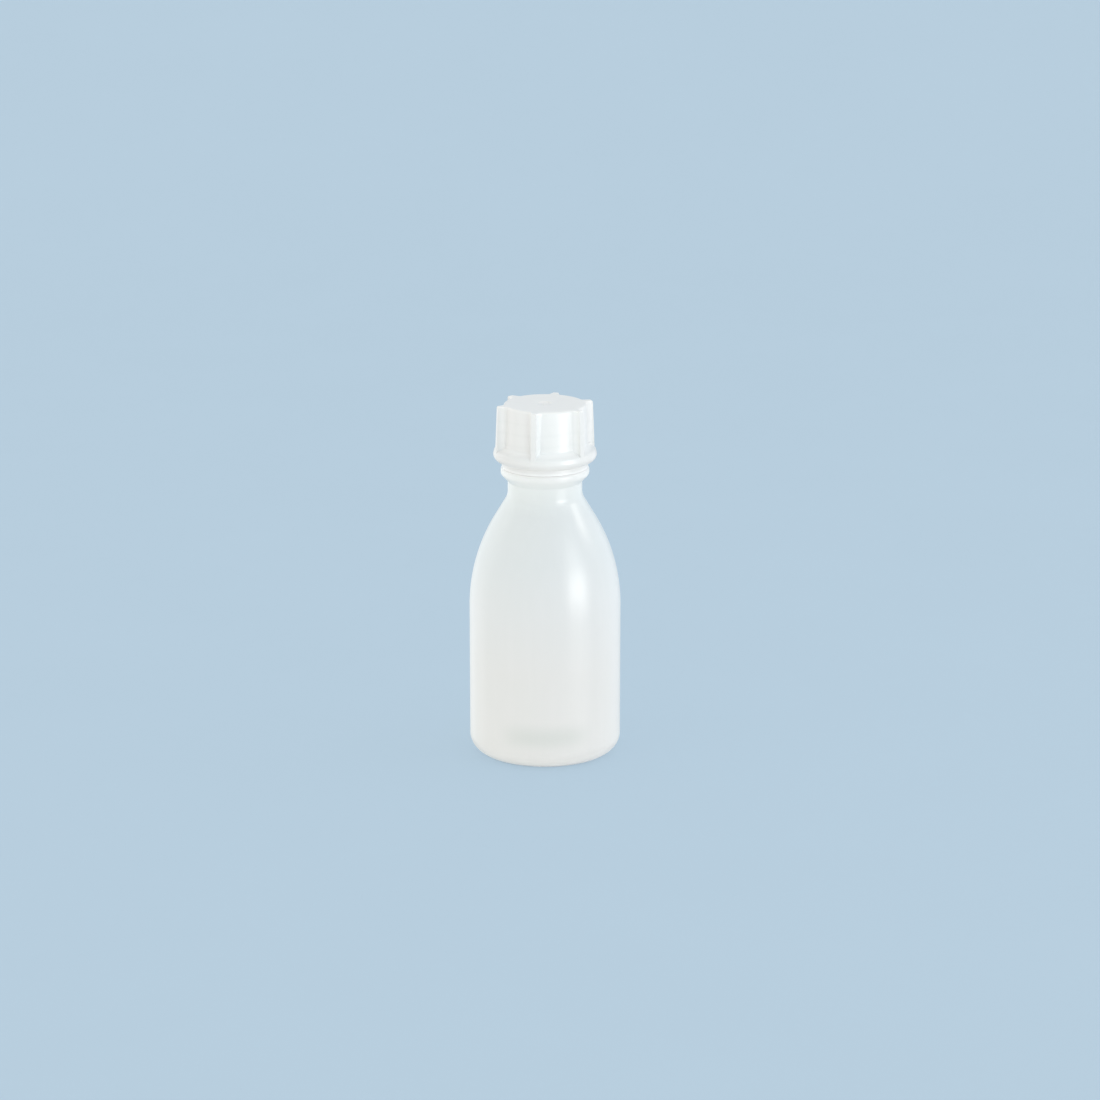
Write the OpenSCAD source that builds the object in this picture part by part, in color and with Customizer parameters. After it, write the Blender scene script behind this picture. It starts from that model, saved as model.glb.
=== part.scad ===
// Narrow-neck bottle of soft translucent plastic, with a six-ribbed screw cap.
// The cap closes on a sealing disc that lies on the mouth.
//
// Millimetres, +Z up. The origin is the centre of the foot, on the surface where the bottle stands.
// Turning the cap anticlockwise, seen from above, unscrews it: it rises one pitch a turn.

/* [Body] */
// Outer diameter of the straight body
body_d = 39; // [34:0.5:60]
// Radius of the rounded lower edge
heel_r = 4.6; // [2:0.1:8]
// Height at which the straight wall ends and the shoulder starts
shoulder_z = 39; // [15:0.5:90]
// Radius of the shoulder's arc, seen from the side
shoulder_r = 46; // [20:1:60]
// Angle from upright at which the arc runs out into the straight upper shoulder
shoulder_angle = 31; // [20:1:37]
// Wall thickness of the body and the shoulder
wall = 1; // [0.5:0.05:1.6]
// Thickness of the base
base_t = 1.2; // [0.6:0.05:2.5]
// Width of the flat ring that the bottle stands on
foot_w = 3; // [1:0.1:7]
// Height of the base's push-up above the foot
pushup_h = 2.2; // [0.5:0.1:5]

/* [Neck] */
// Outer diameter of the plain neck, under the bead
neck_d = 19.1; // [17:0.1:21]
// Wall thickness of the plain neck
neck_wall = 1.5; // [0.8:0.05:2]
// Radius of the fillet between the shoulder and the neck
neck_fillet_r = 4; // [0.2:0.1:6]
// Height of the neck from the shoulder to the top of the bead
neck_h = 7.8; // [6:0.1:20]
// Outer diameter of the bead
bead_d = 22.7; // [21.6:0.1:25]
// Radius of the bead's rounded crest
bead_crest_r = 1.05; // [0.4:0.05:1.5]
// Slope of the bead's underside, from upright
bead_slope = 38; // [30:1:60]

/* [Mouth] */
// Diameter of the mouth's bore
bore_d = 12.8; // [6:0.1:14]
// Slope of the cone that opens the bore into the plain neck, from upright
bore_slope = 45; // [30:1:70]
// Diameter of the threaded finish at the thread's root
finish_d = 16.6; // [15.6:0.1:17.2]
// Height of the finish from the bead to the mouth
finish_h = 13.7; // [12:0.1:25]
// Rounding of the mouth's outer and inner edges
lip_r = 0.5; // [0.1:0.05:0.9]

/* [Thread] */
// Rise of the thread in one turn
thread_pitch = 3; // [2.6:0.05:3.6]
// Height of the thread above its root
thread_depth = 0.9; // [0.6:0.05:1.1]
// Lean of the thread's flanks, from square to the axis
flank_angle = 30; // [15:1:40]
// Turns of thread on the neck
neck_turns = 2.5; // [1:0.25:3]
// Turns of thread in the cap
cap_turns = 2; // [1:0.25:2.5]
// Plain length between the mouth and the neck's thread
neck_lead = 1.1; // [0.5:0.05:2]
// Plain length between the skirt's lower edge and the cap's thread
cap_lead = 1.2; // [0.5:0.05:2]
// Angle over which each end of a thread fades out
thread_fade = 45; // [20:5:90]
// Clearance between a thread's crest and the root that faces it
crest_gap = 0.35; // [0.25:0.05:0.5]
// Clearance between the flanks, along the axis
flank_gap = 0.3; // [0.2:0.05:0.4]

/* [Cap] */
// Outer diameter of the cap's core at its lower end
cap_d = 22.1; // [21.2:0.1:24]
// Outer diameter of the cap's core at the top
cap_top_d = 21.2; // [20.6:0.1:22.4]
// Thickness of the cap's top
cap_top_t = 1.4; // [0.8:0.05:3]
// Rounding of the cap's top edge
cap_edge_r = 0.9; // [0.2:0.05:1.2]
// Rounding of the skirt's lower edge
skirt_edge_r = 0.3; // [0.1:0.05:0.5]
// Clearance between the skirt and the bead, with the cap closed
skirt_gap = 0.3; // [0.2:0.05:1.5]

/* [Cap ring] */
// Outer diameter of the ring round the cap's lower end
ring_d = 26.5; // [26.3:0.1:32]
// Outer diameter where the ring's tapered side ends
ring_top_d = 25.7; // [24:0.1:26.3]
// Height of the ring
ring_h = 3.6; // [2.8:0.1:8]
// Height of the ring's underside above the skirt's lower edge
ring_rise = 1.1; // [0.4:0.1:4]
// Radius of the ring's rounded lower side
ring_round_r = 1.8; // [0.4:0.1:2]
// Rounding of the ring's top edge
ring_edge_r = 0.4; // [0.2:0.05:0.6]

/* [Grip ribs] */
// Number of grip ribs
rib_count = 6; // [3:1:12]
// Turn of the first rib from the +X direction
rib_turn = 16.5; // [0:0.5:60]
// Thickness of a rib
rib_w = 1.3; // [0.6:0.05:2.4]
// Radius of the fillets along a rib's foot
rib_fillet_r = 1.2; // [0.3:0.1:2]
// Diameter over the ribs at the cap's top
rib_top_d = 25.2; // [23:0.1:26.2]
// Diameter over the ribs where they run into the ring
rib_low_d = 26.2; // [24:0.1:26.2]
// Rounding of a rib's top corner
rib_edge_r = 0.5; // [0.1:0.05:1]

/* [Gate mark] */
// Diameter of the dish in the middle of the cap's top
gate_dish_d = 3.2; // [2:0.1:10]
// Depth of the dish
gate_dish_t = 0.25; // [0.15:0.05:0.6]
// Diameter of the gate's stub in the dish
gate_d = 1.2; // [0.6:0.1:1.8]
// Height of the stub, under the dish's depth
gate_h = 0.15; // [0.05:0.05:0.2]

/* [Sealing disc] */
// Thickness of the sealing disc
disc_t = 1.1; // [0.5:0.05:3]
// Clearance between the disc's edge and the cap's wall
disc_gap = 0.3; // [0.2:0.05:0.5]

/* [Hidden] */
$fn = 96;

// Overrun of every cut past the face that it opens
over = 1;
// Depth to which one solid runs into another that it is fused to
sink = 0.1;
// Depth of a thread's foot inside its wall
thread_bury = 0.2;

// Steps along an arc of the shoulder, and along a small arc
SHOULDER_STEPS = 16;
ARC_STEPS = 10;
// Steps of a thread in one turn
THREAD_STEPS = 36;

body_r = body_d / 2;
neck_r = neck_d / 2;
bead_r = bead_d / 2;
bore_r = bore_d / 2;
finish_r = finish_d / 2;
foot_r = body_r - heel_r;
pushup_r = foot_r - foot_w;

// The shoulder: its arc's centre, the end of the arc, and the corner with the neck
shoulder_c = [body_r - shoulder_r, shoulder_z];
shoulder_end = on_arc(shoulder_c, shoulder_r, shoulder_angle);
neck_z = cone_height(shoulder_end, shoulder_angle, neck_r);
bead_z = neck_z + neck_h;
mouth_z = bead_z + finish_h;

// The neck's fillet, held to the straight part of the shoulder
shoulder_straight = (shoulder_end[0] - neck_r) / sin(shoulder_angle);
neck_round_r = min(neck_fillet_r, 0.9 * shoulder_straight / tan(shoulder_angle / 2));

// The plain neck's inside, and the height at which its bore starts
neck_in_r = neck_r - neck_wall;
inner_end = on_arc(shoulder_c, shoulder_r - wall, shoulder_angle);
neck_in_z = cone_height(inner_end, shoulder_angle, neck_in_r);
bead_crest = [bead_r - bead_crest_r, bead_z - bead_crest_r];
bead_low = on_arc(bead_crest, bead_crest_r, -bead_slope);
bead_low_z = bead_low[1] - (bead_low[0] - neck_r) / tan(bead_slope);
bore_z = bead_low_z + (neck_in_r - bore_r) / tan(bore_slope);

// The cap and the disc follow the neck
cap_bore_r = finish_r + thread_depth + crest_gap;
skirt_z = bead_z + skirt_gap;
disc_top_z = mouth_z + disc_t;
cap_top_z = disc_top_z + cap_top_t;
cap_r = cap_d / 2;
cap_top_r = cap_top_d / 2;
ring_z = skirt_z + ring_rise;
ring_top_z = ring_z + ring_h;
ring_r = ring_d / 2;
rib_base_z = ring_z + ring_round_r;

// Threads: the foot's width leaves flank_gap on both sides, half a pitch from the other thread
flank_lean = tan(flank_angle);
thread_foot_w = thread_pitch / 2 - flank_gap + flank_lean * (thread_depth + crest_gap);
neck_thread_z = mouth_z - neck_lead - thread_foot_w / 2 - thread_pitch * neck_turns;
cap_thread_z = skirt_z + cap_lead + thread_foot_w / 2;
cap_thread_turn = 360 * ((cap_thread_z - neck_thread_z) / thread_pitch + 1 / 2);

// A point on an arc, and the points along one
function on_arc(centre, r, angle) = centre + r * [cos(angle), sin(angle)];
function arc(centre, r, from, to, steps = ARC_STEPS) =
    [for (i = [0:steps]) on_arc(centre, r, from + (to - from) * i / steps)];
function backwards(points) = [for (i = [len(points) - 1:-1:0]) points[i]];

// Height at which a cone that starts at p, leaning in by angle, is r from the axis
function cone_height(p, angle, r) = p[1] + (p[0] - r) / tan(angle);

// Fillet of radius r in the corner at z between a cone below and a wall of radius wall_r above
function neck_fillet(wall_r, z, angle, r) =
    let (centre = [wall_r + r, z + r * tan(angle / 2)])
    arc(centre, r, 180 + angle, 180);

// Dome of the push-up from its rim to the axis, raised by lift
function dome(lift) =
    let (r = (pushup_r * pushup_r + pushup_h * pushup_h) / (2 * pushup_h))
    arc([0, pushup_h - r + lift], r, 90 - asin(pushup_r / r), 90);

// The bottle's outside, from the axis at the base to the mouth
function bottle_outside() = concat(
    backwards(dome(0)),
    arc([foot_r, heel_r], heel_r, -90, 0),
    arc(shoulder_c, shoulder_r, 0, shoulder_angle, SHOULDER_STEPS),
    neck_fillet(neck_r, neck_z, shoulder_angle, neck_round_r),
    [[neck_r, bead_low_z]],
    arc(bead_crest, bead_crest_r, -bead_slope, 90),
    [[finish_r, bead_z]],
    arc([finish_r - lip_r, mouth_z - lip_r], lip_r, 0, 90)
);

// The bottle's inside, from the mouth to the axis at the base
function bottle_inside() = concat(
    arc([bore_r + lip_r, mouth_z - lip_r], lip_r, 90, 180),
    [[bore_r, bore_z], [neck_in_r, bead_low_z], [neck_in_r, neck_in_z]],
    backwards(arc(shoulder_c, shoulder_r - wall, 0, shoulder_angle, SHOULDER_STEPS)),
    backwards(arc([foot_r, heel_r], heel_r - wall, -90, 0)),
    dome(base_t)
);

// How much of its depth a thread has at an angle along it
function fade(angle, turns) = max(0, min(1, min(angle, 360 * turns - angle) / thread_fade));

// Section of a thread at one angle: foot, crest, crest, foot. side is 1 on the neck and -1 in the cap
function thread_section(root_r, side, turns, z, angle) =
    let (
        top = (thread_depth + sink) * fade(angle, turns) - sink,
        mid = z + thread_pitch * angle / 360,
        foot = thread_foot_w / 2 + flank_lean * thread_bury,
        crest = thread_foot_w / 2 - flank_lean * top
    )
    [for (p = [[-thread_bury, -foot], [top, -crest], [top, crest], [-thread_bury, foot]])
        [(root_r + side * p[0]) * cos(angle), (root_r + side * p[0]) * sin(angle), mid + p[1]]];

// A right-handed thread that starts at height z, at angle 0
module thread(root_r, side, turns, z) {
    steps = ceil(THREAD_STEPS * turns);
    points = [for (i = [0:steps]) each thread_section(root_r, side, turns, z, 360 * turns * i / steps)];
    walls = [for (i = [0:steps - 1], k = [0:3])
        let (a = 4 * i + k, b = 4 * i + (k + 1) % 4)
        each [[a, b, b + 4], [a, b + 4, a + 4]]];
    ends = [[3, 2, 1, 0], [for (k = [0:3]) 4 * steps + k]];
    faces = concat(walls, ends);
    polyhedron(points, side > 0 ? faces : [for (f = faces) backwards(f)]);
}

module bottle() {
    color("gainsboro") {
        rotate_extrude() polygon(concat(bottle_outside(), bottle_inside()));
        thread(finish_r, 1, neck_turns, neck_thread_z);
    }
}

module sealing_disc() {
    color("white")
    translate([0, 0, mouth_z])
    cylinder(r = cap_bore_r - disc_gap, h = disc_t);
}

// The cap's core, as if solid
module cap_core() {
    rotate_extrude()
    polygon(concat(
        [[0, skirt_z]],
        arc([cap_r - skirt_edge_r, skirt_z + skirt_edge_r], skirt_edge_r, -90, 0),
        arc([cap_top_r - cap_edge_r, cap_top_z - cap_edge_r], cap_edge_r, 0, 90),
        [[0, cap_top_z]]
    ));
}

// The ring round the cap's lower end
module cap_ring() {
    rotate_extrude()
    polygon(concat(
        [[cap_bore_r + sink, ring_z]],
        arc([ring_r - ring_round_r, ring_z + ring_round_r], ring_round_r, -90, 0),
        arc([ring_top_d / 2 - ring_edge_r, ring_top_z - ring_edge_r], ring_edge_r, 0, 90),
        [[cap_bore_r + sink, ring_top_z]]
    ));
}

// Plan of one rib along +X, with fillets that run into the core
module rib_plan() {
    half = rib_w / 2;
    core = cap_top_r - sink;
    centre = [sqrt(pow(core + rib_fillet_r, 2) - pow(half + rib_fillet_r, 2)), half + rib_fillet_r];
    lean = atan2(centre[1], centre[0]);
    inner = cap_top_r - cap_edge_r - sink;
    side = concat(
        [[ring_r, half]],
        arc(centre, rib_fillet_r, 270, 180 + lean),
        [inner * [cos(lean), sin(lean)]]
    );
    polygon(concat(side, [for (p = backwards(side)) [p[0], -p[1]]]));
}

// The space that all ribs lie in, as a solid of revolution
module rib_envelope() {
    rotate_extrude()
    polygon(concat(
        [[0, rib_base_z], [rib_low_d / 2, rib_base_z]],
        arc([rib_top_d / 2 - rib_edge_r, cap_top_z - rib_edge_r], rib_edge_r, 0, 90),
        [[0, cap_top_z]]
    ));
}

module grip_ribs() {
    intersection() {
        rib_envelope();
        for (i = [0:rib_count - 1])
            rotate([0, 0, rib_turn + 360 * i / rib_count])
            translate([0, 0, rib_base_z])
            linear_extrude(cap_top_z - rib_base_z + over)
            rib_plan();
    }
}

// The dish in the middle of the top, less the stub that stands in it
module gate_dish() {
    translate([0, 0, cap_top_z - gate_dish_t])
    difference() {
        cylinder(d = gate_dish_d, h = gate_dish_t + over);
        translate([0, 0, -over]) cylinder(d = gate_d, h = gate_h + over);
    }
}

module screw_cap() {
    color("whitesmoke") {
        difference() {
            union() {
                cap_core();
                cap_ring();
                grip_ribs();
            }
            translate([0, 0, skirt_z - over]) cylinder(r = cap_bore_r, h = disc_top_z - skirt_z + over);
            gate_dish();
        }
        rotate([0, 0, cap_thread_turn]) thread(cap_bore_r, -1, cap_turns, cap_thread_z);
    }
}

bottle();
sealing_disc();
screw_cap();
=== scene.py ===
from math import asin, atan2, ceil, cos, degrees, hypot, pi, radians, sin, sqrt, tan

import bpy
import numpy as np
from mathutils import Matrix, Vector


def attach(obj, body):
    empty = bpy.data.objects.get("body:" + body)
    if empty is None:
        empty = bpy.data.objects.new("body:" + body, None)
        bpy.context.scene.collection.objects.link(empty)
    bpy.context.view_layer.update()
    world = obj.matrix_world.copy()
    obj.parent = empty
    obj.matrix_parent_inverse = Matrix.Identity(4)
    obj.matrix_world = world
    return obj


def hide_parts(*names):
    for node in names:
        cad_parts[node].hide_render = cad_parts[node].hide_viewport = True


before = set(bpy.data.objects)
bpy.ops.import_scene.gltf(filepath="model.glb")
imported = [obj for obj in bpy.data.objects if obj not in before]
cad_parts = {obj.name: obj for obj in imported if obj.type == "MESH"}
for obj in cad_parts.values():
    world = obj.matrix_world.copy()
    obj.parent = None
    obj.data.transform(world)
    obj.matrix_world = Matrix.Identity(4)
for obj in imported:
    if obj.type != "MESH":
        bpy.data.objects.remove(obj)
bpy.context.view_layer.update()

MM = 0.001

# ---------------------------------------------------------------- sizes
BODY_R, HEEL_R, SHOULDER_Z, SHOULDER_R, SHOULDER_ANGLE = 19.5, 4.6, 39.0, 46.0, 31.0
WALL, BASE_T, FOOT_W, PUSHUP_H = 1.0, 1.2, 3.0, 2.2
NECK_R, NECK_WALL, NECK_FILLET_R, NECK_H = 9.55, 1.5, 4.0, 7.8
BORE_R, BORE_SLOPE, FINISH_R, FINISH_H, LIP_R = 6.4, 45.0, 8.3, 13.7, 0.5
# The bead: its top lies BEAD_DROP lower than in the CAD model
BEAD_R, BEAD_CREST_R, BEAD_TOP_R, BEAD_SLOPE, BEAD_DROP = 11.35, 1.25, 0.75, 43.0, 0.28
BEAD_FOOT_R, FINISH_FOOT_R = 0.5, 0.3
# Parting seams: turn of the first, width and height
SEAM_TURN, SEAM_W, SEAM_H = 5.0, 0.12, 0.03
# Pinch-off line under the push-up: height, half width, reach and the length in which it fades out
PINCH_H, PINCH_W, PINCH_REACH, PINCH_FADE = 0.35, 0.4, 8.5, 0.25
# Threads
PITCH, DEPTH, FLANK, NECK_TURNS, CAP_TURNS = 3.0, 0.9, 30.0, 2.5, 2.0
NECK_LEAD, CAP_LEAD, FADE, CREST_GAP, FLANK_GAP = 1.1, 1.2, 45.0, 0.35, 0.3
CREST_ROUND, ROOT_ROUND = 0.18, 0.05
# The cap: its skirt reaches SKIRT_DROP lower than in the CAD model
CAP_R, CAP_TOP_R, CAP_TOP_T, CAP_EDGE_R = 11.05, 10.6, 1.4, 0.7
SKIRT_EDGE_R, SKIRT_GAP, SKIRT_DROP = 0.06, 0.3, 0.54
BORE_LOW_R, BORE_TOP_R = 0.15, 0.2
RING_R, RING_TOP_R, RING_H, RING_RISE, RING_ROUND_R, RING_BLEND = 13.25, 12.85, 3.6, 1.1, 1.8, 0.9
RIBS, RIB_TURN, RIB_W, RIB_FILLET_R = 6, 16.5, 1.3, 2.2
RIB_TOP_R, RIB_LOW_R, RIB_EDGE_R, RIB_BLEND = 12.6, 13.1, 0.5, 0.7
# A rib's plan runs out past the ring and in under the core's surface. Outside the ribs it stays far inside
RIB_PAST, RIB_SINK, NO_RIB_R = 0.4, 0.1, 5.0
RIB_FOOT_EDGE_R, RIB_TIP_ROUND, RIB_ROOT_ROUND = 0.22, 0.3, 0.02
GATE_DISH_R, GATE_DISH_T, GATE_R, GATE_H = 1.6, 0.18, 0.6, 0.12
DISC_T, DISC_GAP, DISC_EDGE_R = 1.1, 0.3, 0.12

# ---------------------------------------------------------------- spacing of points
BOTTLE_STEP, CAP_STEP, DISC_STEP = 1.5, 2.0, 3.0  # degrees
SEAM_COLUMNS = (-0.6, -0.4, -0.2, 0, 0.2, 0.4, 0.6)
RIB_COLUMNS = [0.0, 0.6, 1.2, 1.8, 2.3, 2.6]
NECK_ROW_STEP, CAP_ROW_STEP = 0.14, 0.19
# Depths of the rows at the cap's top edge, and places of the rows on its flat top, from the gate mark outwards
EDGE_DEPTHS = [0.003, 0.01, 0.02, 0.035, 0.055, 0.08, 0.11, 0.15, 0.2, 0.25, 0.31, 0.38, 0.46, 0.55, 0.66,
               0.78, 0.9]
TOP_SHARES = (0.15, 0.32, 0.5, 0.66, 0.8, 0.91, 0.975, 1.0)
# Half the gap between the two rows at the ring's underside
RING_STEP = 0.005


# ---------------------------------------------------------------- small geometry
def on_arc(c, r, a):
    return (c[0] + r * cos(radians(a)), c[1] + r * sin(radians(a)))


def arc(c, r, a, b, steps):
    return [on_arc(c, r, a + (b - a) * i / steps) for i in range(steps + 1)]


def line(p, q, step):
    """Points from p up to q, q left out, about step apart."""
    n = max(1, ceil(hypot(q[0] - p[0], q[1] - p[1]) / step))
    return [(p[0] + (q[0] - p[0]) * i / n, p[1] + (q[1] - p[1]) * i / n) for i in range(n)]


def path(points, step):
    """The same polyline with its long stretches divided."""
    out = []
    for p, q in zip(points, points[1:]):
        if hypot(q[0] - p[0], q[1] - p[1]) > 1e-6:
            out += line(p, q, step)
    return out + [points[-1]]


def spaced(start, end, count):
    """Numbers from start to end, start left out."""
    return list(np.linspace(start, end, count))[1:]


def smooth_max(a, b, k):
    h = np.clip(0.5 + 0.5 * (a - b) / k, 0, 1)
    return b + (a - b) * h + k * h * (1 - h)


def smooth_min(a, b, k):
    return -smooth_max(-a, -b, k)


def share_of(x, start, end):
    """0 up to start, 1 from end on, and in proportion between them."""
    return min(1, max(0, (x - start) / (end - start)))


def eased(t):
    return t * t * (3 - 2 * t)


def angle_from(theta, places):
    """Angle in degrees between each theta and the nearest of the places."""
    return np.min([np.abs((theta - p + 180) % 360 - 180) for p in places], axis=0)


# ---------------------------------------------------------------- derived places
FOOT_R = BODY_R - HEEL_R
PUSHUP_R = FOOT_R - FOOT_W
shoulder_c = (BODY_R - SHOULDER_R, SHOULDER_Z)
shoulder_end = on_arc(shoulder_c, SHOULDER_R, SHOULDER_ANGLE)
shoulder_lean = tan(radians(SHOULDER_ANGLE))
neck_z = shoulder_end[1] + (shoulder_end[0] - NECK_R) / shoulder_lean
bead_z = neck_z + NECK_H
mouth_z = bead_z + FINISH_H
neck_in_r = NECK_R - NECK_WALL
inner_end = on_arc(shoulder_c, SHOULDER_R - WALL, SHOULDER_ANGLE)
neck_in_z = inner_end[1] + (inner_end[0] - neck_in_r) / shoulder_lean
bead_top_z = bead_z - BEAD_DROP
bead_crest = (BEAD_R - BEAD_CREST_R, bead_top_z - BEAD_CREST_R)
bead_low = on_arc(bead_crest, BEAD_CREST_R, -BEAD_SLOPE)
bead_low_z = bead_low[1] - (bead_low[0] - NECK_R) / tan(radians(BEAD_SLOPE))
bore_z = bead_low_z + (neck_in_r - BORE_R) / tan(radians(BORE_SLOPE))
cap_bore_r = FINISH_R + DEPTH + CREST_GAP
skirt_z = bead_z + SKIRT_GAP
skirt_low_z = skirt_z - SKIRT_DROP
disc_top_z = mouth_z + DISC_T
cap_top_z = disc_top_z + CAP_TOP_T
ring_z = skirt_z + RING_RISE
ring_top_z = ring_z + RING_H
rib_base_z = ring_z + RING_ROUND_R
flank_lean = tan(radians(FLANK))
thread_foot_w = PITCH / 2 - FLANK_GAP + flank_lean * (DEPTH + CREST_GAP)
neck_thread_z = mouth_z - NECK_LEAD - thread_foot_w / 2 - PITCH * NECK_TURNS
cap_thread_z = skirt_z + CAP_LEAD + thread_foot_w / 2
cap_thread_turn = 360 * ((cap_thread_z - neck_thread_z) / PITCH + 0.5)


def thread_height(theta, z, start_z, turns):
    """Height of a right-handed thread over its root at angle theta (degrees) and height z, edges rounded."""
    best = np.zeros(np.broadcast(theta, z).shape)
    for k in range(-1, ceil(turns) + 1):
        along = np.mod(theta, 360) + 360 * k
        fade = np.clip(np.minimum(along, 360 * turns - along) / FADE, 0, 1)
        off = np.abs(z - (start_z + PITCH * along / 360))
        h = smooth_min(DEPTH * fade, (thread_foot_w / 2 - off) / flank_lean, CREST_ROUND)
        best = np.maximum(best, h)
    # A smooth maximum lifts a plain root by a quarter of its width
    return smooth_max(best, 0 * best, ROOT_ROUND) - ROOT_ROUND / 4


# ---------------------------------------------------------------- mesh making
def closed_surface(name, rows, material, body, node):
    """One closed mesh from rows of points in millimetres: a pole, rings of equal length, a pole."""
    first, rings, last = rows[0], rows[1:-1], rows[-1]
    n = len(rings[0])
    verts = np.concatenate([np.array([first]), np.concatenate(rings), np.array([last])]) * MM
    faces = [(0, 1 + (j + 1) % n, 1 + j) for j in range(n)]
    for i in range(len(rings) - 1):
        a, b = 1 + i * n, 1 + (i + 1) * n
        faces += [(a + j, a + (j + 1) % n, b + (j + 1) % n, b + j) for j in range(n)]
    end, a = len(verts) - 1, 1 + (len(rings) - 1) * n
    faces += [(end, a + j, a + (j + 1) % n) for j in range(n)]
    obj = smooth_object(name, [tuple(v) for v in verts], faces, material)
    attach(obj, body)
    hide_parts(node)
    return obj


def smooth_object(name, verts, faces, material):
    mesh = bpy.data.meshes.new(name)
    mesh.from_pydata(verts, [], faces)
    mesh.update()
    mesh.polygons.foreach_set("use_smooth", [True] * len(mesh.polygons))
    mesh.materials.append(material)
    obj = bpy.data.objects.new(name, mesh)
    bpy.context.scene.collection.objects.link(obj)
    return obj


def ring(r, z, theta):
    """One ring of points: r and z are numbers or one value per angle."""
    t = np.radians(theta)
    r, z = np.broadcast_to(r, t.shape), np.broadcast_to(z, t.shape)
    return np.stack([r * np.cos(t), r * np.sin(t), z], axis=1)


def pole(z):
    """The single point at height z that closes a mesh on the axis."""
    return np.array([0, 0, z])


def angles_with(step, extras):
    """Angles all round, step degrees apart, with extra ones merged in and near doubles left out."""
    wanted = sorted(set(round(a % 360, 4) for a in extras))
    even = np.arange(0, 360, step)
    plain = [a for a in even if all(min(abs(a - w), 360 - abs(a - w)) > 0.45 * step for w in wanted)]
    return np.array(sorted(wanted + plain))


# ---------------------------------------------------------------- materials
# Length in millimetres that a colour ramp spans
SPAN = 100.0
# Noise: scales per metre, how far streaks are drawn out upright, and their share in the colour
CLOUD_SCALE, WEAR_SCALE, STREAK_STRETCH, STREAK_SHARE = 70.0, 420.0, 0.06, 0.45
# Relief in metres and its strength: the fine orange peel and the broad waves
PEEL_DEPTH, PEEL_STRENGTH, WAVE_DEPTH, WAVE_STRENGTH = 0.00004, 0.10, 0.0001, 0.15
ROUGHNESS_SPREAD, PLASTIC_IOR = 0.03, 1.51
# Sockets of a Mix node for colours
MIX_SHARE, MIX_A, MIX_B, MIX_RESULT = 0, 6, 7, 2
WHITE, BLACK = (1, 1, 1), (0, 0, 0)
# (height, colour) stops: the bottle wall's own tone with painted light and shade, lighter at the heel where it
# meets the floor, darker and bluer on the shoulder, which faces the top light, and lighter at the neck and bead,
# which the cap's ring shades; and the cap's painted light, lighter at the skirt's lower edge over the bead,
# under the ring and on the top
WALL_TONE_AND_PAINTED_LIGHT = [(0.7, (1.0, 0.99, 0.98)), (2.2, (0.94, 0.93, 0.92)), (4.5, (0.896, 0.890, 0.880)),
             (25, (0.873, 0.872, 0.867)), (40, (0.857, 0.874, 0.884)),
             (54, (0.815, 0.853, 0.868)), (65, (0.818, 0.858, 0.871)), (71, (0.895, 0.935, 0.938)),
             (75.47, (0.970, 0.985, 0.990)), (75.67, (1.035, 1.03, 1.035))]
CAP_PAINTED_LIGHT = [(76.02, (1.18, 1.18, 1.19)), (76.32, WHITE), (77.15, WHITE),
            (77.4, (1.03, 1.025, 1.025)), (77.9, (1.03, 1.025, 1.025)), (78.3, WHITE),
            (92.1, WHITE), (92.28, (1.10, 1.08, 1.06))]
# (radius, grey) stops of painted light and shade on the cap, from its core out to its ring: lighter just
# outside the core, where the ribs and ring meet it in shade, darker out at the rib tips and the ring
PROUD_PAINTED_SHADE = [(11.1, 1.0), (11.35, 1.05), (11.9, 1.02), (12.6, 0.96)]
# (height, share) stops of painted shade and its colours: a dark band near the base where one looks at the wall
# square on, in place of the pushed-up base seen through it, and faint lines along the inner thread's turns
PAINTED_BASE_BAND = [(4.2, 0.0), (8.9, 1.0), (13.6, 0.0)]
BASE_SHADE = (0.90, 0.925, 0.91)
PAINTED_THREAD_BAND = [(79.5, 0.0), (80.5, 1.0), (88.5, 1.0), (89.5, 0.0)]
THREAD_SHADE = (0.982, 0.985, 0.984)


def nodes_of(name):
    mat = bpy.data.materials.new(name)
    mat.use_nodes = True
    nt = mat.node_tree
    nt.nodes.clear()
    out = nt.nodes.new("ShaderNodeOutputMaterial")
    return mat, nt, out


def put(nt, socket, value):
    """Links an input to a socket, or sets it to a plain value."""
    if isinstance(value, bpy.types.NodeSocket):
        nt.links.new(value, socket)
    else:
        socket.default_value = value


def add(nt, kind, settings=None, **inputs):
    n = nt.nodes.new(kind)
    for key, value in (settings or {}).items():
        setattr(n, key, value)
    for key, value in inputs.items():
        put(nt, n.inputs[key.replace("_", " ")], value)
    return n


def maths(nt, operation, *values, clamp=False):
    """Result of a Math node on sockets or numbers."""
    n = add(nt, "ShaderNodeMath", {"operation": operation, "use_clamp": clamp})
    for socket, value in zip(n.inputs, values):
        put(nt, socket, value)
    return n.outputs[0]


def ramp(nt, factor, stops, between="LINEAR"):
    n = nt.nodes.new("ShaderNodeValToRGB")
    n.color_ramp.interpolation = between
    elements = n.color_ramp.elements
    while len(elements) < len(stops):
        elements.new(0.5)
    for e, (pos, col) in zip(elements, stops):
        e.position, e.color = pos, (*col, 1)
    nt.links.new(factor, n.inputs["Fac"])
    return n.outputs["Color"]


def colours_at(stops):
    """Ramp stops from (place in millimetres, colour or grey)."""
    return [(at / SPAN, v if isinstance(v, tuple) else (v, v, v)) for at, v in stops]


def blend(nt, share, first, second, how="MIX"):
    """Two colours, each a socket or (r, g, b, 1), mixed by a share."""
    n = add(nt, "ShaderNodeMix", {"data_type": "RGBA", "blend_type": how})
    for place, value in ((MIX_SHARE, share), (MIX_A, first), (MIX_B, second)):
        put(nt, n.inputs[place], value)
    return n.outputs[MIX_RESULT]


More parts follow.
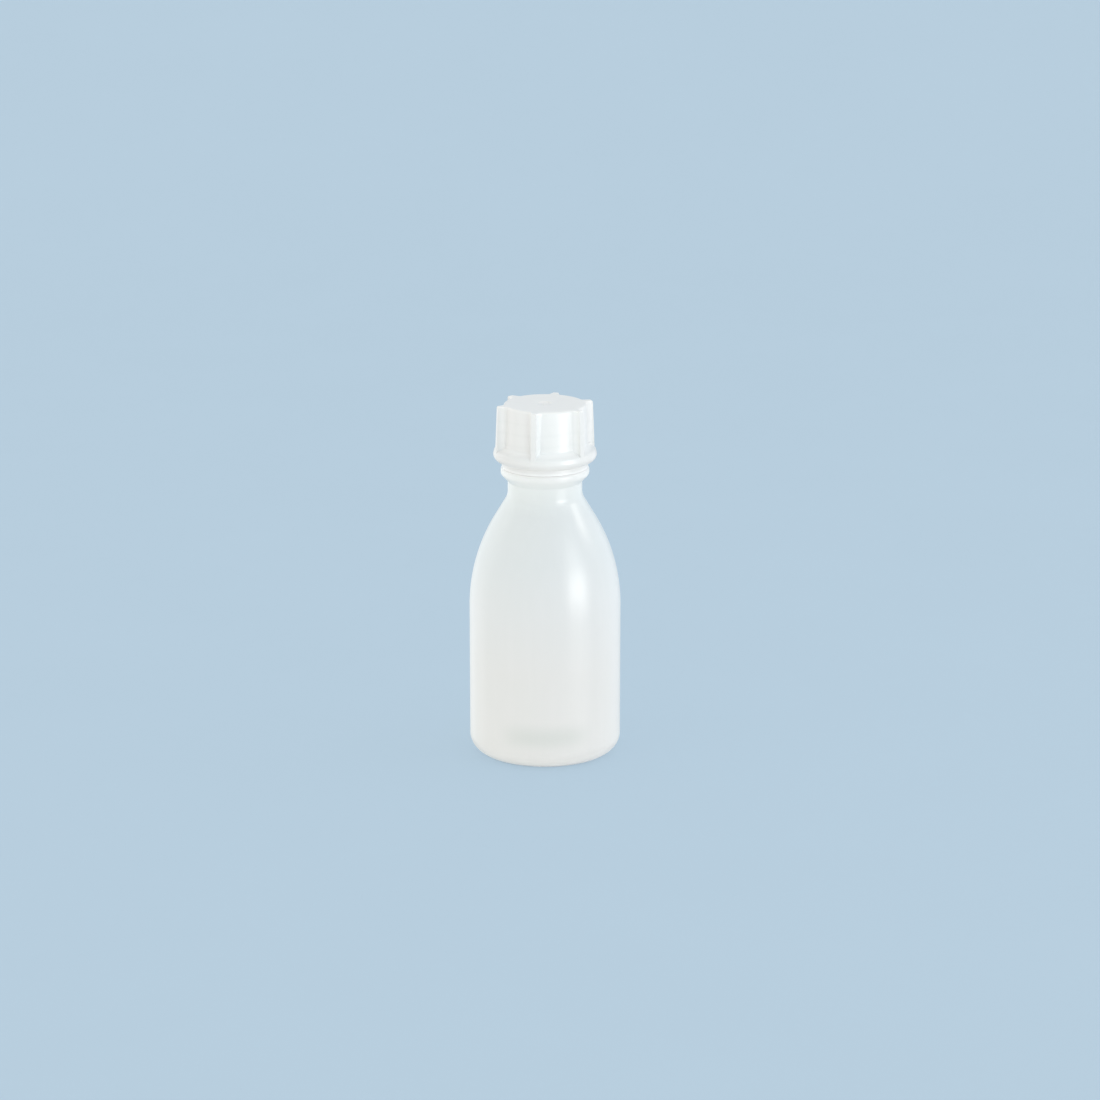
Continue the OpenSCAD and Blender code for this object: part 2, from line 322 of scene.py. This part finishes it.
def times(nt, colour, other):
    """Two colours multiplied."""
    return blend(nt, 1.0, colour, other, "MULTIPLY")


def shaded(nt, colour, share, shade):
    """A colour multiplied by a shade where share is 1 and left as it is where share is 0."""
    return times(nt, colour, blend(nt, share, (*WHITE, 1), (*shade, 1)))


def thread_crests(nt, place, rise):
    """1 along the crest of a right-handed thread and 0 between its turns."""
    around = add(nt, "ShaderNodeTexGradient", {"gradient_type": "RADIAL"}, Vector=place).outputs["Fac"]
    along = maths(nt, "SUBTRACT", maths(nt, "MULTIPLY", rise, SPAN / PITCH), around)
    return ramp(nt, maths(nt, "FRACT", along),
                [(0.0, BLACK), (0.25, BLACK), (0.5, WHITE), (0.75, BLACK), (1.0, BLACK)], "EASE")


def plastic(name, low, high, rough, streak, peel, scatter=0.0, through=0.0, tint=WHITE, tone_and_painted_light_by_height=None,
            proud_shade=None, painted_base_shade=None, painted_thread_shade=None):
    """Moulded polyethylene: a milky skin with cloudy variation, faint upright streaks and a fine orange peel.
    Its colour wanders between low and high. streak and peel are noise scales. scatter is how far light spreads
    under the skin in millimetres. through is the share that passes the wall as soft light, coloured by tint.
    The (z, colour) stops by height hold the colour's tone with painted light and shade, and the (radius, grey)
    stops painted light and shade that even out the ribs and ring against the core. The (z, share) stops of the
    base paint shade where one looks at the wall square on, in place of the pushed-up base seen through it, and
    those of the thread paint shade in faint lines along the inner thread's turns."""
    mat, nt, out = nodes_of(name)
    place = add(nt, "ShaderNodeTexCoord").outputs["Object"]
    cloud = add(nt, "ShaderNodeTexNoise", Vector=place, Scale=CLOUD_SCALE, Detail=3.0, Roughness=0.5)
    stretched = add(nt, "ShaderNodeMapping", Vector=place, Scale=(1.0, 1.0, STREAK_STRETCH))
    lines = add(nt, "ShaderNodeTexNoise", Vector=stretched.outputs[0], Scale=streak, Detail=2.0, Roughness=0.4)
    both = add(nt, "ShaderNodeMix", {"data_type": "FLOAT"}, Factor=STREAK_SHARE, A=cloud.outputs["Fac"],
               B=lines.outputs["Fac"])
    colour = ramp(nt, both.outputs[0], [(0.3, low), (0.7, high)])
    up = add(nt, "ShaderNodeSeparateXYZ", Vector=place).outputs["Z"]
    rise = maths(nt, "DIVIDE", up, SPAN * MM)
    # Painted light and shade by height, over the wall's own tone
    if tone_and_painted_light_by_height:
        colour = times(nt, colour, ramp(nt, rise, colours_at(tone_and_painted_light_by_height)))
    # Painted light and shade by radius: lighter near the core, darker at the rib tips and ring
    if proud_shade:
        flat = add(nt, "ShaderNodeVectorMath", {"operation": "MULTIPLY"})
        put(nt, flat.inputs[0], place)
        put(nt, flat.inputs[1], (1 / (SPAN * MM), 1 / (SPAN * MM), 0))
        out_by = add(nt, "ShaderNodeVectorMath", {"operation": "LENGTH"})
        put(nt, out_by.inputs[0], flat.outputs[0])
        colour = times(nt, colour, ramp(nt, out_by.outputs["Value"], colours_at(proud_shade)))
    # Painted shade where one looks at the wall square on, in place of the pushed-up base seen through it
    if painted_base_shade:
        square_on = add(nt, "ShaderNodeLayerWeight", Blend=0.5).outputs["Facing"]
        middle = ramp(nt, square_on, [(0.05, WHITE), (0.30, BLACK)], "EASE")
        band = ramp(nt, rise, colours_at(painted_base_shade), "EASE")
        colour = shaded(nt, colour, times(nt, middle, band), BASE_SHADE)
    # Painted shade in faint lines along the inner thread's turns
    if painted_thread_shade:
        band = ramp(nt, rise, colours_at(painted_thread_shade))
        colour = shaded(nt, colour, times(nt, thread_crests(nt, place, rise), band), THREAD_SHADE)
    wear = add(nt, "ShaderNodeTexNoise", Vector=place, Scale=WEAR_SCALE, Detail=4.0, Roughness=0.6)
    roughness = add(nt, "ShaderNodeMapRange", Value=wear.outputs["Fac"], To_Min=rough - ROUGHNESS_SPREAD,
                    To_Max=rough + ROUGHNESS_SPREAD)
    skin = add(nt, "ShaderNodeTexNoise", Vector=place, Scale=peel, Detail=2.0, Roughness=0.5)
    fine = add(nt, "ShaderNodeBump", Strength=PEEL_STRENGTH, Distance=PEEL_DEPTH, Height=skin.outputs["Fac"])
    wavy = add(nt, "ShaderNodeBump", Strength=WAVE_STRENGTH, Distance=WAVE_DEPTH, Height=lines.outputs["Fac"],
               Normal=fine.outputs[0])
    surface = add(nt, "ShaderNodeBsdfPrincipled", {"subsurface_method": "RANDOM_WALK"}, Base_Color=colour,
                  Roughness=roughness.outputs[0], Normal=wavy.outputs[0], IOR=PLASTIC_IOR,
                  Subsurface_Weight=1.0 if scatter else 0.0, Subsurface_Radius=(1.0, 1.0, 1.0),
                  Subsurface_Scale=scatter * MM)
    inner = add(nt, "ShaderNodeBsdfTranslucent", Color=(*tint, 1))
    mix = add(nt, "ShaderNodeMixShader")
    for socket, value in zip(mix.inputs, (through, surface.outputs[0], inner.outputs[0])):
        put(nt, socket, value)
    nt.links.new(mix.outputs[0], out.inputs["Surface"])
    return mat


bottle_mat = plastic("bottle_skin", (0.945, 0.955, 0.945), (0.965, 0.97, 0.965), rough=0.31, streak=520.0,
                     peel=900.0, through=0.03, tint=(0.94, 0.96, 0.95), tone_and_painted_light_by_height=WALL_TONE_AND_PAINTED_LIGHT, painted_base_shade=PAINTED_BASE_BAND)
cap_mat = plastic("cap_skin", (0.819, 0.819, 0.810), (0.837, 0.837, 0.828), rough=0.31, streak=380.0,
                  peel=1100.0, tone_and_painted_light_by_height=CAP_PAINTED_LIGHT, proud_shade=PROUD_PAINTED_SHADE, painted_thread_shade=PAINTED_THREAD_BAND)
disc_mat = plastic("disc_skin", (0.86, 0.86, 0.84), (0.93, 0.93, 0.91), rough=0.6, streak=300.0, peel=3600.0,
                   scatter=0.8)

# ---------------------------------------------------------------- bottle
seams = [SEAM_TURN, SEAM_TURN + 180]
bottle_angles = angles_with(BOTTLE_STEP, [s + d for s in seams for d in SEAM_COLUMNS])


def dome(lift):
    """The push-up's arc from the axis to its rim, raised by lift."""
    r = (PUSHUP_R**2 + PUSHUP_H**2) / (2 * PUSHUP_H)
    return arc((0, PUSHUP_H - r + lift), r, 90, 90 - degrees(asin(PUSHUP_R / r)), 22)


def seam_offset(r, theta):
    """How far a parting seam stands out, by arc distance from the nearest seam."""
    return SEAM_H * np.exp(-((np.radians(angle_from(theta, seams)) * r / SEAM_W) ** 2))


def pinch_offset(r, theta):
    """How far the pinch-off line stands out, which runs across the base in the plane of the seams."""
    across = r * np.sin(np.radians(np.minimum(angle_from(theta, seams), 90)))
    return PINCH_H * np.exp(-((across / PINCH_W) ** 4)) / (1 + np.exp((r - PINCH_REACH) / PINCH_FADE))


def bottle_outside():
    """The outside from the heel to the finish's foot."""
    out = arc((FOOT_R, HEEL_R), HEEL_R, -90, 0, 22)
    out += line((BODY_R, HEEL_R), (BODY_R, SHOULDER_Z), 2.2)[1:]
    out += arc(shoulder_c, SHOULDER_R, 0, SHOULDER_ANGLE, 26)
    fillet_c = (NECK_R + NECK_FILLET_R, neck_z + NECK_FILLET_R * tan(radians(SHOULDER_ANGLE / 2)))
    fillet = arc(fillet_c, NECK_FILLET_R, 180 + SHOULDER_ANGLE, 180, 10)
    out += line(out[-1], fillet[0], 1.2)[1:] + fillet
    corner_c = (NECK_R + BEAD_FOOT_R, bead_low_z - BEAD_FOOT_R * tan(radians(BEAD_SLOPE) / 2))
    corner = arc(corner_c, BEAD_FOOT_R, 180, 180 - BEAD_SLOPE, 6)
    out += line(fillet[-1], corner[0], 0.8)[1:] + corner
    out += line(corner[-1], bead_low, 0.4)[1:]
    out += arc(bead_crest, BEAD_CREST_R, -BEAD_SLOPE, 0, 12)
    out += arc((BEAD_R - BEAD_TOP_R, bead_top_z - BEAD_TOP_R), BEAD_TOP_R, 0, 90, 14)
    out += line(out[-1], (FINISH_R + FINISH_FOOT_R, bead_top_z), 0.5)[1:]
    out += arc((FINISH_R + FINISH_FOOT_R, bead_top_z + FINISH_FOOT_R), FINISH_FOOT_R, -90, -180, 6)
    return out


def bottle_inside():
    """The inside from the mouth to the push-up, short of the axis."""
    out = arc((BORE_R + LIP_R, mouth_z - LIP_R), LIP_R, 90, 180, 8)
    out += path([out[-1], (BORE_R, bore_z)], 1.5)[1:]
    out += path([(BORE_R, bore_z), (neck_in_r, bead_low_z), (neck_in_r, neck_in_z)], 0.6)[1:]
    out += arc(shoulder_c, SHOULDER_R - WALL, SHOULDER_ANGLE, 0, 20)
    out += line(out[-1], (BODY_R - WALL, HEEL_R), 3.0)[1:]
    out += arc((FOOT_R, HEEL_R), HEEL_R - WALL, 0, -90, 12)
    up = dome(BASE_T)
    return out + line(out[-1], up[-1], 0.8)[1:] + up[::-1][:-1]


def bottle_rows():
    theta = bottle_angles
    rows = [pole(PUSHUP_H)]
    rows += [ring(r, z - pinch_offset(r, theta), theta) for r, z in dome(0)[1:]]
    foot = path([(PUSHUP_R, 0), (PUSHUP_R + 0.12, 0), (FOOT_R, 0)], 0.8)[1:-1]
    rows += [ring(r, z, theta) for r, z in foot]
    # The seams start a little above the foot
    rows += [ring(r + (seam_offset(r, theta) if z > 1.5 else 0), z, theta) for r, z in bottle_outside()]
    low, top = bead_top_z + FINISH_FOOT_R, mouth_z - LIP_R
    count = ceil((top - low) / NECK_ROW_STEP)
    for i in range(1, count):
        z = low + (top - low) * i / count
        rows.append(ring(FINISH_R + thread_height(theta, z, neck_thread_z, NECK_TURNS), z, theta))
    rows += [ring(r, z, theta) for r, z in arc((FINISH_R - LIP_R, top), LIP_R, 0, 90, 8)]
    rows.append(ring((FINISH_R + BORE_R) / 2, mouth_z, theta))
    rows += [ring(r, z, theta) for r, z in bottle_inside()]
    return rows + [pole(PUSHUP_H + BASE_T)]


bottle = closed_surface("bottle_shell", bottle_rows(), bottle_mat, "bottle", "bottle")

# ---------------------------------------------------------------- cap


def rib_outline():
    """Half of a rib's plan as (angle from the rib's middle, radius), from the tip to the core."""
    core = CAP_TOP_R - RIB_SINK
    cy = RIB_W / 2 + RIB_FILLET_R
    cx = sqrt((core + RIB_FILLET_R) ** 2 - cy**2)
    lean = degrees(atan2(cy, cx))
    points = [(x, RIB_W / 2) for x in np.linspace(RING_R + RIB_PAST, cx, 8)]
    points += arc((cx, cy), RIB_FILLET_R, 270, 180 + lean, 11)[1:]
    return [(degrees(atan2(y, x)), hypot(x, y)) for x, y in points]


half_rib = rib_outline()
rib_middles = [RIB_TURN + 360 * i / RIBS for i in range(RIBS)]
one_side = sorted(set(RIB_COLUMNS + [a for a, _ in half_rib]))
one_rib = [-a for a in one_side[:0:-1]] + one_side
cap_angles = angles_with(CAP_STEP, [m + a for m in rib_middles for a in one_rib])


def plan_radius(theta):
    """Radius of the ribs' plan at each angle, NO_RIB_R where there is no rib."""
    d = angle_from(theta, rib_middles)
    a, r = np.array(half_rib).T
    order = np.argsort(a)
    return np.where(d > a.max() + 1e-6, NO_RIB_R, np.interp(d, a[order], r[order]))


plan = plan_radius(cap_angles)


def rounded(z, r, top, edge):
    """Radius at height z of a wall of radius r whose top edge is rounded."""
    t = np.clip((z - (top - edge)) / edge, 0, 1)
    return r - edge + edge * np.sqrt(1 - t**2)


def with_ribs(r, z, full, drop):
    """The core's radii with the ribs on them. full is the wall's radius and drop what its top edge takes off."""
    envelope = RIB_LOW_R + (RIB_TOP_R - RIB_LOW_R) * share_of(z, rib_base_z, cap_top_z - RIB_EDGE_R)
    envelope = np.full_like(plan, rounded(z, envelope, cap_top_z, RIB_EDGE_R))
    rib = smooth_min(rounded(z, plan, cap_top_z, RIB_FOOT_EDGE_R), envelope, RIB_TIP_ROUND)
    # A rib's foot follows the rounded top edge and its tip keeps its own
    rib = rib - drop * (1 - eased(np.clip((rib - full) / RIB_BLEND, 0, 1)))
    return np.where(plan > NO_RIB_R, smooth_max(r, rib, RIB_ROOT_ROUND), r)


def ring_side(z, core):
    """Radius of the cap's ring at height z. Its top runs into the core."""
    if z < rib_base_z:
        return RING_R - RING_ROUND_R + sqrt(max(0, RING_ROUND_R**2 - (rib_base_z - z) ** 2))
    side = RING_R + (RING_TOP_R - RING_R) * share_of(z, rib_base_z, ring_top_z)
    return side + (core - side) * eased(share_of(z, ring_top_z - RING_BLEND, ring_top_z + RING_BLEND))


def cap_outside(z):
    """The cap's radius at height z, one for each of its angles."""
    full = CAP_R + (CAP_TOP_R - CAP_R) * share_of(z, skirt_z, cap_top_z - CAP_EDGE_R)
    core = rounded(z, full, cap_top_z, CAP_EDGE_R)
    drop = full - core
    low = share_of(z, skirt_low_z, skirt_low_z + SKIRT_EDGE_R)
    core = core - SKIRT_EDGE_R + SKIRT_EDGE_R * sqrt(1 - (1 - low) ** 2)
    r = np.full_like(plan, core)
    if z > rib_base_z:
        r = with_ribs(r, z, full, drop)
    if ring_z <= z <= ring_top_z + RING_BLEND:
        r = np.maximum(r, ring_side(z, core))
    return r


def cap_heights():
    """Heights of the rows outside, from the top edge down to the skirt's lower edge."""
    out = [cap_top_z - d for d in EDGE_DEPTHS]
    out += spaced(out[-1], ring_top_z + RING_BLEND, 13)
    out += spaced(out[-1], ring_top_z - RING_BLEND, 13)
    out += spaced(out[-1], rib_base_z, 5)
    out += [rib_base_z - RING_ROUND_R * sin(radians(a)) for a in np.linspace(0, 90, 15)[1:-1]]
    out += [ring_z + RING_STEP, ring_z - RING_STEP]
    out += spaced(out[-1], skirt_low_z + SKIRT_EDGE_R, 5)
    return out + [skirt_low_z + SKIRT_EDGE_R * (1 - sin(radians(a))) for a in (18, 36, 54, 72, 90)]


def cap_rows():
    theta = cap_angles
    dish_z = cap_top_z - GATE_DISH_T
    stub_z = dish_z + GATE_H
    # The gate mark with softened edges: the stub, the dish and the rim
    gate = [(GATE_R - 0.1, stub_z), (GATE_R - 0.03, stub_z - 0.03), (GATE_R, stub_z - 0.1),
            (GATE_R + 0.03, dish_z), (GATE_R + 0.3, dish_z), (GATE_DISH_R - 0.3, dish_z),
            (GATE_DISH_R - 0.12, dish_z + 0.03), (GATE_DISH_R - 0.03, cap_top_z - 0.08),
            (GATE_DISH_R, cap_top_z - 0.02), (GATE_DISH_R + 0.06, cap_top_z)]
    rows = [pole(stub_z)] + [ring(r, z, theta) for r, z in gate]
    rim, top = gate[-1][0], cap_outside(cap_top_z)
    rows += [ring(rim + (top - rim) * s, cap_top_z, theta) for s in TOP_SHARES]
    rows += [ring(cap_outside(z), z, theta) for z in cap_heights()]
    # The skirt's lower face and the threaded bore
    rows.append(ring((CAP_R - SKIRT_EDGE_R + cap_bore_r) / 2, skirt_low_z, theta))
    bore_low, bore_top = skirt_low_z + BORE_LOW_R, disc_top_z - BORE_TOP_R
    rows += [ring(r, z, theta) for r, z in arc((cap_bore_r + BORE_LOW_R, bore_low), BORE_LOW_R, 270, 180, 4)]
    count = ceil((bore_top - bore_low) / CAP_ROW_STEP)
    for i in range(1, count + 1):
        z = bore_low + (bore_top - bore_low) * i / count
        height = thread_height(theta - cap_thread_turn, z, cap_thread_z, CAP_TURNS)
        rows.append(ring(cap_bore_r - height, z, theta))
    corner = arc((cap_bore_r - BORE_TOP_R, bore_top), BORE_TOP_R, 0, 90, 4)[1:]
    rows += [ring(r, z, theta) for r, z in corner]
    rows += [ring(r, disc_top_z, theta) for r in (8.0, 6.0, 4.0, 2.0)]
    return rows + [pole(disc_top_z)]


cap = closed_surface("screw_cap_shell", cap_rows(), cap_mat, "cap", "screw_cap")

# ---------------------------------------------------------------- sealing disc
disc_r = cap_bore_r - DISC_GAP
disc_angles = np.arange(0, 360, DISC_STEP)
disc_profile = [(r, mouth_z) for r in (2.0, 4.0, 5.6, 6.2)]
# A faint dent that the mouth has pressed
disc_profile += [(6.5, mouth_z + 0.02), (7.3, mouth_z + 0.03), (8.2, mouth_z + 0.02), (8.5, mouth_z)]
disc_profile += arc((disc_r - DISC_EDGE_R, mouth_z + DISC_EDGE_R), DISC_EDGE_R, -90, 0, 5)
disc_profile += arc((disc_r - DISC_EDGE_R, disc_top_z - DISC_EDGE_R), DISC_EDGE_R, 0, 90, 5)
disc_profile += [(r, disc_top_z) for r in (7.5, 6.0, 4.0, 2.0)]
disc_rows = [pole(mouth_z)] + [ring(r, z, disc_angles) for r, z in disc_profile] + [pole(disc_top_z)]
disc = closed_surface("sealing_disc_foam", disc_rows, disc_mat, "disc", "sealing_disc")

# ---------------------------------------------------------------- floor, backdrop and world
# The colour that is seen, and the paler one that lights the bottle
SKY, PALE = (0.483, 0.621, 0.736), (0.94, 0.94, 0.93)
HORIZON, ZENITH = (1.0, 1.0, 1.0), (0.92, 0.93, 0.95)
WEST, EAST = (1.03, 1.01, 0.95), (1.0, 1.03, 1.07)
# How much of the seen floor is its own colour, free of shade, and the grain of its paper
FLOOR_GLOW, GRAIN_SCALE = 0.75, 18.0
GRAIN = [(0.35, tuple(c * 0.997 for c in SKY)), (0.65, tuple(c * 1.003 for c in SKY))]
# The sheet in metres, just under the foot: its front and back, height, bend and half width
FRONT, BACK, HEIGHT, BEND, HALF_W, FLOOR_Z = -0.5, 0.9, 1.2, 0.35, 1.6, -0.00005


def seen_mask(nt):
    """1 for rays that look at a surface, straight, in gloss or through clear matter, 0 for rays that light it."""
    rays = add(nt, "ShaderNodeLightPath").outputs
    straight = maths(nt, "MAXIMUM", rays["Is Camera Ray"], rays["Is Glossy Ray"])
    looks = maths(nt, "MAXIMUM", straight, rays["Is Transmission Ray"])
    return maths(nt, "SUBTRACT", looks, rays["Is Diffuse Ray"], clamp=True)


def stage_material():
    mat, nt, out = nodes_of("stage_paper")
    place = add(nt, "ShaderNodeTexCoord").outputs["Object"]
    grain = add(nt, "ShaderNodeTexNoise", Vector=place, Scale=GRAIN_SCALE, Detail=4.0)
    tint = ramp(nt, grain.outputs["Fac"], GRAIN)
    mask = seen_mask(nt)
    diffuse = add(nt, "ShaderNodeBsdfDiffuse", Color=blend(nt, mask, (*PALE, 1), tint))
    glow = add(nt, "ShaderNodeEmission", Color=tint, Strength=1.0)
    mix = add(nt, "ShaderNodeMixShader")
    share = maths(nt, "MULTIPLY", mask, FLOOR_GLOW)
    for socket, value in zip(mix.inputs, (share, diffuse.outputs[0], glow.outputs[0])):
        put(nt, socket, value)
    nt.links.new(mix.outputs[0], out.inputs["Surface"])
    return mat


def make_stage():
    """A floor that rises behind the bottle into a plain wall, as one sheet."""
    section = [(FRONT, FLOOR_Z), (0.0, FLOOR_Z), (BACK - BEND, FLOOR_Z)]
    section += [(BACK - BEND + BEND * sin(radians(a)), FLOOR_Z + BEND * (1 - cos(radians(a))))
                for a in range(6, 91, 6)]
    section += [(BACK, HEIGHT)]
    verts = [(x, y, z) for y, z in section for x in (-HALF_W, HALF_W)]
    faces = [(2 * i, 2 * i + 1, 2 * i + 3, 2 * i + 2) for i in range(len(section) - 1)]
    obj = smooth_object("stage_sweep", verts, faces, stage_material())
    # Lamps below the floor's level still mirror in the plastic
    obj.visible_glossy = False


def make_world():
    """An even white sky to light the bottle, a little warmer from the left, and the backdrop's blue to be seen."""
    world = bpy.data.worlds.new("studio")
    bpy.context.scene.world = world
    world.use_nodes = True
    nt = world.node_tree
    nt.nodes.clear()
    way = add(nt, "ShaderNodeSeparateXYZ", Vector=add(nt, "ShaderNodeTexCoord").outputs["Generated"])
    height = add(nt, "ShaderNodeMapRange", Value=way.outputs["Z"])
    side = add(nt, "ShaderNodeMapRange", Value=way.outputs["X"], From_Min=-1.0)
    light = times(nt, ramp(nt, height.outputs[0], [(0.0, HORIZON), (1.0, ZENITH)]),
                  ramp(nt, side.outputs[0], [(0.0, WEST), (1.0, EAST)]))
    background = add(nt, "ShaderNodeBackground", Color=blend(nt, seen_mask(nt), light, (*SKY, 1)), Strength=1.0)
    add(nt, "ShaderNodeOutputWorld", Surface=background.outputs[0])


make_stage()
make_world()


# ---------------------------------------------------------------- lights
def area(name, azimuth, elevation, distance, size, radiance, colour=WHITE, glint=True, fill=True, height=0.045,
         only=None):
    """A softbox at an azimuth (0 at the camera, 90 at +X), an elevation and a distance from a point on the axis
    at the given height. glint is whether it mirrors in gloss and fill whether it lights what is matt. Where a
    piece is given as only, it lights no other."""
    data = bpy.data.lights.new(name, "AREA")
    data.shape, data.size, data.size_y, data.color = "RECTANGLE", size[0], size[1], colour
    data.energy = radiance * pi * size[0] * size[1]
    obj = bpy.data.objects.new(name, data)
    a, e = radians(azimuth), radians(elevation)
    away = Vector((sin(a) * cos(e), -cos(a) * cos(e), sin(e)))
    obj.location = Vector((0, 0, height)) + away * distance
    obj.visible_camera = False
    obj.visible_glossy = glint
    obj.visible_diffuse = obj.visible_volume_scatter = fill
    obj.rotation_mode = "QUATERNION"
    obj.rotation_quaternion = away.to_track_quat("Z", "Y")
    bpy.context.scene.collection.objects.link(obj)
    if only:
        lit = bpy.data.collections.new(name + "_lit")
        lit.objects.link(only)
        obj.light_linking.receiver_collection = lit


area("key_glint", 52, -2.9, 0.7, (0.36, 0.36), 7.1, (1.0, 0.985, 0.96), fill=False)
area("key_glint_top", 52, 20.5, 0.7, (0.28, 0.31), 1.8, fill=False)
area("side_glint", 96, 30, 0.7, (0.14, 0.12), 8.5, (1.0, 0.94, 0.86), fill=False)
area("back_glint_right", 118, 10, 0.6, (0.7, 0.8), 0.65, (0.95, 0.98, 1.0), fill=False)
area("back_glint_left", -130, 10, 0.6, (0.7, 0.8), 0.8, (1.0, 0.98, 0.95), fill=False)
area("right_fill", 75, 12, 0.5, (0.4, 0.3), 0.52, (0.95, 0.98, 1.0), glint=False, height=0.085)
area("left_fill", -60, 3, 0.5, (0.2, 0.06), 2.2, (1.0, 0.93, 0.78), glint=False, height=0.01)
# Stands in for light that passes through the cap
area("cap_fill", 15, 15, 0.045, (0.02, 0.03), 1.15, (0.68, 0.93, 1.0), glint=False, height=0.084, only=cap)

# ---------------------------------------------------------------- camera
# Elevation and distance from the aim, focal length in pixels, and where the aim stands in the frame
CAM_E, CAM_D, FOCAL, FRAME_PX = 16.6, 0.950, 3678.0, 1100
AIM_ROW, AIM_COLUMN = 600.3, 544.85
SENSOR_MM = 36.0
aim = Vector((0, 0, 0.040))
elevation = radians(CAM_E)
camera_data = bpy.data.cameras.new("camera")
camera_data.sensor_fit = "HORIZONTAL"
camera_data.sensor_width = SENSOR_MM
camera_data.lens = SENSOR_MM * FOCAL / FRAME_PX
camera_data.clip_start, camera_data.clip_end = 0.05, 20
camera = bpy.data.objects.new("camera", camera_data)
camera.location = aim + Vector((0, -cos(elevation), sin(elevation))) * CAM_D
camera.rotation_mode = "XYZ"
tilt = atan2(AIM_ROW - FRAME_PX / 2, FOCAL)
pan = atan2(FRAME_PX / 2 - AIM_COLUMN, FOCAL)
camera.rotation_euler = (pi / 2 - elevation + tilt, 0, -pan)
bpy.context.scene.collection.objects.link(camera)
bpy.context.scene.camera = camera

bpy.context.scene.view_settings.view_transform = "Standard"
